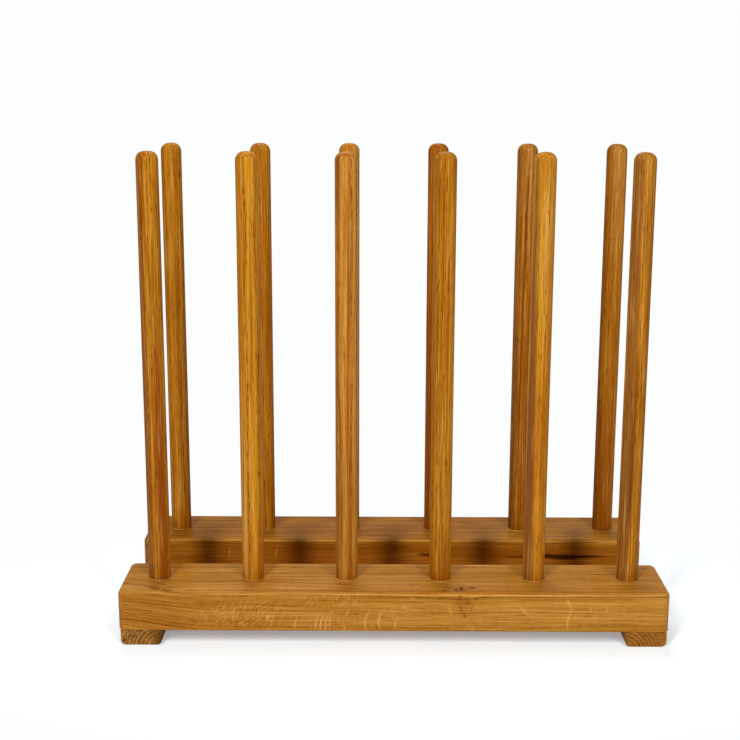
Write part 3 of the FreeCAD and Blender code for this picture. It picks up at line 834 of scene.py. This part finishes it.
# %% List the twelve posts
LIGHT = ("#D69422", "#C27A14", "#863E04")
MIDDLE = ("#CA881C", "#B4700E", "#7E3A04")
DEEP = ("#C07C18", "#AA640C", "#783604")
REDDISH = ("#BE720E", "#AA5E04", "#763402")
BRIGHT = ("#D29238", "#BE7E28", "#8A440C")
POSTS = {
    # marks: kind, strength, how far right of the axis, height, half width, half height, lean in degrees
    # its first mark is painted shade and sheen down its left side
    "front_post_1": {"pith": (40, 10), "ring": 3.4, "tones": MIDDLE, "marks": [
        ("grey", 0.6, -13, 260, 9, 600, 0), ("red", 0.9, 6, 160, 10, 300, 0),
        ("dark", 0.3, -2, 330, 1.6, 120, 0)]},
    "front_post_2": {"pith": (-20, 60), "ring": 3.0, "tones": LIGHT, "marks": [
        # the pale mark on the left side is painted light
        ("pale", 0.6, -8, 120, 8, 160, 0), ("red", 0.6, 9, 90, 4, 110, 0),
        ("red", 0.5, 3, 360, 2, 160, 0.3)]},
    # its first mark is painted shade and sheen down its left side
    "front_post_3": {"pith": (-14, -70), "ring": 3.8, "tones": BRIGHT, "marks": [
        # the dark mark at the top left, 530 mm up, is painted shade
        ("grey", 0.35, -14, 150, 9, 400, 0), ("dark", 1.0, -13, 530, 9, 200, 0),
        ("red", 0.9, 2, 310, 1.8, 250, 0.3), ("red", 0.8, -6, 200, 1.8, 200, -0.4),
        ("red", 0.5, 3, 90, 6, 110, 0), ("dark", 0.45, -6, 120, 1.2, 100, 0),
        ("dark", 0.4, 4, 420, 1.4, 80, -0.6), ("pale", 0.5, 9.5, 320, 3.5, 330, 0)]},
    # its first mark is painted shade and sheen down its left side
    "front_post_4": {"pith": (90, 20), "ring": 3.2, "tones": MIDDLE, "marks": [
        ("grey", 0.7, -13.5, 300, 3.5, 600, 0), ("red", 0.6, -2, 400, 1.2, 150, 0.3),
        ("red", 0.6, 4.5, 330, 1.4, 200, 0), ("red", 0.5, 0, 150, 2.2, 120, 0),
        ("red", 0.45, 4, 80, 9, 70, 0), ("pale", 0.3, -8, 150, 1, 100, 0),
        ("pale", 0.35, 7.5, 420, 1.5, 120, 0)]},
    # its first mark is painted shade and sheen down its left side
    "front_post_5": {"pith": (70, 30), "ring": 4.2, "tones": LIGHT, "marks": [
        ("grey", 0.85, -13.5, 300, 10, 1400, -0.7), ("pale", 0.45, 3, 450, 8, 140, 0),
        ("red", 0.3, 6.5, 190, 4.5, 200, 0), ("dark", 0.35, -9, 470, 1.0, 90, 0),
        ("red", 0.6, -6.5, 110, 1.3, 60, 0), ("dark", 0.3, -4.5, 80, 0.9, 40, 0)]},
    # its first mark is painted shade and sheen down its left side
    "front_post_6": {"pith": (120, -40), "ring": 3.6, "tones": MIDDLE, "marks": [
        ("grey", 0.65, -13, 300, 12, 1400, 0), ("dark", 0.7, -2, 200, 3.0, 170, 0.4),
        ("red", 0.45, 9, 240, 4, 300, 0), ("pale", 0.35, 2.5, 380, 1.8, 120, 0),
        ("pale", 0.2, 0, 520, 16, 160, 0)]},
    "rear_post_1": {"pith": (60, 20), "ring": 3.4, "tones": MIDDLE, "marks": [
        ("red", 0.5, 4, 250, 3, 260, 0)]},
    "rear_post_2": {"pith": (-40, -50), "ring": 3.0, "tones": MIDDLE, "marks": [
        ("red", 0.5, -3, 300, 3, 200, 0)]},
    "rear_post_3": {"pith": (20, 80), "ring": 3.4, "tones": LIGHT, "marks": [
        ("red", 0.4, -6, 250, 3, 300, 0), ("pale", 1.0, 10, 420, 9, 300, 0)]},
    "rear_post_4": {"pith": (-80, 30), "ring": 3.2, "tones": REDDISH, "marks": [
        ("red", 0.85, 0, 190, 14, 360, 0), ("dark", 0.35, -9, 180, 5, 260, 0)]},
    # its first mark is painted shade and sheen down its left side
    "rear_post_5": {"pith": (-60, -20), "ring": 4.0, "tones": DEEP, "marks": [
        ("grey", 0.5, -13, 300, 9, 600, 0), ("pale", 0.45, 2, 500, 12, 120, 0),
        ("red", 0.8, -1, 400, 2.6, 150, 0.6), ("dark", 0.45, -1, 400, 1.3, 130, 0.6),
        ("dark", 0.5, -3, 230, 1.8, 150, 0.4), ("red", 0.6, 7, 250, 4, 300, 0)]},
    "rear_post_6": {"pith": (30, -90), "ring": 3.8, "tones": DEEP, "marks": [
        ("pale", 0.5, 0, 500, 12, 150, 0), ("dark", 0.35, 10, 300, 2.5, 220, 0),
        ("dark", 0.3, 2, 340, 1.2, 60, 0), ("red", 0.6, 0, 120, 16, 130, 0)]},
}
print("Listed", sum(len(facts["marks"]) for facts in POSTS.values()), "marks on", len(POSTS), "posts")

# %% Turn and dress the twelve posts
POST_SHARES = {"early": 0.4, "streaks": 0.12, "pores": 0.85, "fibres": 0.36, "pale": 0.35}
POST_TOP_SHARE = 0.08
POST_STRETCH = 700.0
POST_MARK_DEPTH = 9
HANDWORK_SEED = 24
random = np.random.default_rng(HANDWORK_SEED)
for number, (post, facts) in enumerate(POSTS.items()):
    low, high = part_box(post)
    middle = (low + high) / 2 / MM
    front = low.y / MM
    pith = (middle.x + facts["pith"][0], middle.y + facts["pith"][1], 0)
    post_marks = [(kind, strength, (middle.x + right, front, height), (half, POST_MARK_DEPTH, tall),
                   (0, lean, 0)) for kind, strength, right, height, half, tall, lean in facts["marks"]]
    post_oak = oak("turned_oak_" + post, "Z", pith, stretch=POST_STRETCH * number, ring=facts["ring"],
                   sway=3.0, tones=facts["tones"], figure=0.0, stains=post_marks, shares=POST_SHARES,
                   sawn_share=POST_TOP_SHARE)
    piece = put_in(post + "_turned", turned_post(post, random), post_oak)
    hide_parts(post)
print("Turned", len(POSTS), "posts")

# %% [markdown]
# ## Glue lines
# When a post is driven into its socket, a little glue comes out and stays in the corner as a
# thin bead, and the varnish rounds it off. It catches the light as a pale line on one side.
# Each bead is a ring: a small triangle with a hollow slope, carried round the post. Its size
# swells and thins on the way, because a finger wiped it, and it is heaviest at the front left.

# %% Run a bead round each post
BEAD_STEPS = 48
BEAD_HEIGHT = 1.0
BEAD_WIDTH = 1.3
BEAD_SINK_IN_POST = 0.6
BEAD_SINK_IN_RAIL = 0.05
BEAD_HEAVY_SIDE = math.radians(245)
BEAD_MEAN = 0.5
BEAD_SWING = 0.42
BEAD_RIPPLE = 0.08
BEAD_RIPPLES = 5
BEAD_SECTION_OUT = np.array([0.0, 0.0, 0.12, 0.4, 1.0])
BEAD_SECTION_UP = np.array([0.0, 1.0, 0.5, 0.16, 0.0])
# how much glue came out at each post, front row first, each row from the left
BEAD_AMOUNTS = (0.7, 0.7, 1.0, 0.6, 0.7, 0.4, 0.6, 0.6, 0.4, 0.4, 1.0, 0.4)


def glue_line(name, post, amount, random):
    """A ring round a post's foot: a hollow triangle whose size is a wave of the angle round it.

    The wave is the square of a mean, a swing to the heavy side and a small ripple.
    """
    low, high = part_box(post)
    centre = (low + high) / 2 / MM
    radius = (high.x - low.x) / 2 / MM - BEAD_SINK_IN_POST
    angle = np.linspace(0.0, 2 * math.pi, BEAD_STEPS, endpoint=False)[:, None]
    start = random.uniform(0, 2 * math.pi)
    swing = BEAD_SWING * np.cos(angle - BEAD_HEAVY_SIDE)
    wave = (BEAD_MEAN + swing + BEAD_RIPPLE * np.sin(BEAD_RIPPLES * angle + start)) ** 2
    reach = radius + BEAD_SECTION_OUT * (BEAD_SINK_IN_POST + BEAD_WIDTH * amount * wave)
    rise = BEAD_SECTION_UP * (BEAD_SINK_IN_RAIL + BEAD_HEIGHT * amount * wave)
    rings = np.stack((centre.x + reach * np.cos(angle), centre.y + reach * np.sin(angle),
                      rail_top - BEAD_SINK_IN_RAIL + rise), axis=-1)
    return skin(name, rings * MM, ends="joined")


print("A bead of glue is at most", BEAD_WIDTH, "mm wide")

# %% Mix the glue and run the beads
GLUE_PALE = linear("#E2B668")
GLUE_BROWN = linear("#C48C40")
GLUE_CLOUDS_PER_MM = 0.9
# dried wood glue under varnish is a cloudy amber, paler than the oak beside it
glue, glue_tree = new_material("varnished_wood_glue")
glue_place = add(glue_tree, "TexCoord", take="Object")
clouds = add(glue_tree, "TexNoise", {"Vector": glue_place, "Scale": GLUE_CLOUDS_PER_MM / MM})
glue_colour = add(glue_tree, "Mix", {SHARE: clouds, UNDER: GLUE_PALE, OVER: GLUE_BROWN}, **COLOUR_MIX)
glue_shader = add(glue_tree, "BsdfPrincipled", {"Base Color": glue_colour, "Roughness": 0.5,
                                                "Specular IOR Level": 0.15})
add(glue_tree, "OutputMaterial", {"Surface": glue_shader})
for post, amount in zip(POSTS, BEAD_AMOUNTS):
    bead = post + "_glue_line"
    put_in(bead, glue_line(bead, post, amount, random), glue)
print("Ran", len(POSTS), "beads of glue")

# %% [markdown]
# ## Screws
# Eight countersunk wood screws hold the rails to the runners. A wood screw is steel wire:
# the head is pressed, the thread is rolled and the whole is plated with zinc. The frame's
# screws are plain, so each is made again with a thread. The thread is a helix, and a helix is
# a question of phase: the height in pitches less the angle in turns tells how far a point is
# from the crest. The head is a height field on circles, sunk where the cross recess is.

# %% Shape a screw
SCREW_FACETS = 32
THREAD_PITCH = 2.2
THREAD_STEPS = 8
THREAD_START = 14.0
THREAD_CORE = 0.7
RIDGE_SHARE = 0.55
THREAD_RADIUS = 2.25
SHANK_RADIUS = 1.75
TIP_LENGTH = 6.0
TIP_SHARE = 0.02
HEAD_RIM = 0.4
HEAD_EASE = 0.1
HEAD_RINGS = 14
HEAD_CENTRE = 0.05
RECESS_SPAN = 4.6
RECESS_SLOT = 1.2
RECESS_DEPTH = 1.9
RECESS_EASE = 0.3


def cross_recess(x, y):
    """1 inside a cross of two slots, easing to 0 over a fraction of a millimetre at its walls."""
    def slot(along, across):
        inside = np.minimum(RECESS_SPAN / 2 - abs(along), RECESS_SLOT / 2 - abs(across))
        return np.clip(0.5 + inside / RECESS_EASE, 0.0, 1.0)
    return np.maximum(slot(x, y), slot(y, x))


def wood_screw(name, node):
    """Head, rim, cone, shank and thread as one grid of rings; the thread is a ridge on a helix."""
    low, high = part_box(node)
    centre = (low + high) / 2 / MM
    face, tip, head = low.z / MM, high.z / MM, (high.x - low.x) / 2 / MM
    angle = np.linspace(0.0, 2 * math.pi, SCREW_FACETS, endpoint=False)
    cone_top = face + HEAD_RIM + head - THREAD_RADIUS
    height = np.arange(cone_top, tip, THREAD_PITCH / THREAD_STEPS)[:, None]
    off_crest = abs((height / THREAD_PITCH - angle / (2 * math.pi)) % 1 - 0.5) * 2
    ridge = np.clip(1 - off_crest / RIDGE_SHARE, 0.0, 1.0)
    taper = THREAD_RADIUS * np.clip((tip - height) / TIP_LENGTH, TIP_SHARE, 1.0)
    thread = taper * (THREAD_CORE + (1 - THREAD_CORE) * ridge)
    shaft = np.where(height < face + THREAD_START, SHANK_RADIUS, thread)
    disc = np.linspace(HEAD_CENTRE, head - HEAD_EASE, HEAD_RINGS)[:, None] + 0 * angle
    sunk = face + RECESS_DEPTH * cross_recess(disc * np.cos(angle), disc * np.sin(angle))
    rim = np.array([[head], [head], [THREAD_RADIUS]]) + 0 * angle
    rim_height = np.array([[face + HEAD_EASE], [face + HEAD_RIM], [cone_top]]) + 0 * angle
    reach = np.vstack((disc, rim, shaft[1:]))
    level = np.vstack((sunk, rim_height, height[1:] + 0 * angle))
    rings = np.stack((centre.x + reach * np.cos(angle), centre.y + reach * np.sin(angle), level),
                     axis=-1)
    return skin(name, rings * MM)


print("A screw's thread climbs", THREAD_PITCH, "mm a turn")

# %% Plate the screws and put them in
ZINC_LIGHT = linear("#D4D6D3")
ZINC_DULL = linear("#B7B9AE")
SPANGLES_PER_MM = 1.4
ZINC_ROUGHNESS = {"From Min": 0.3, "From Max": 0.7, "To Min": 0.24, "To Max": 0.42}
# zinc plating is a pale grey metal with fine spangles, some brighter and some duller
zinc, zinc_tree = new_material("zinc_plated_steel")
zinc_place = add(zinc_tree, "TexCoord", take="Object")
spangles = add(zinc_tree, "TexNoise", {"Vector": zinc_place, "Scale": SPANGLES_PER_MM / MM,
                                       "Detail": 3.0})
zinc_colour = add(zinc_tree, "Mix", {SHARE: spangles, UNDER: ZINC_LIGHT, OVER: ZINC_DULL}, **COLOUR_MIX)
zinc_dullness = add(zinc_tree, "MapRange", {"Value": spangles, **ZINC_ROUGHNESS}, **EASE)
zinc_shader = add(zinc_tree, "BsdfPrincipled", {"Base Color": zinc_colour, "Metallic": 1.0,
                                                "Roughness": zinc_dullness})
add(zinc_tree, "OutputMaterial", {"Surface": zinc_shader})
screws = sorted(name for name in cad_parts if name.startswith("screw_"))
for node in screws:
    piece = put_in(node + "_threaded", wood_screw(node + "_threaded", node), zinc)
    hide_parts(node)
print("Cut", len(screws), "screws")
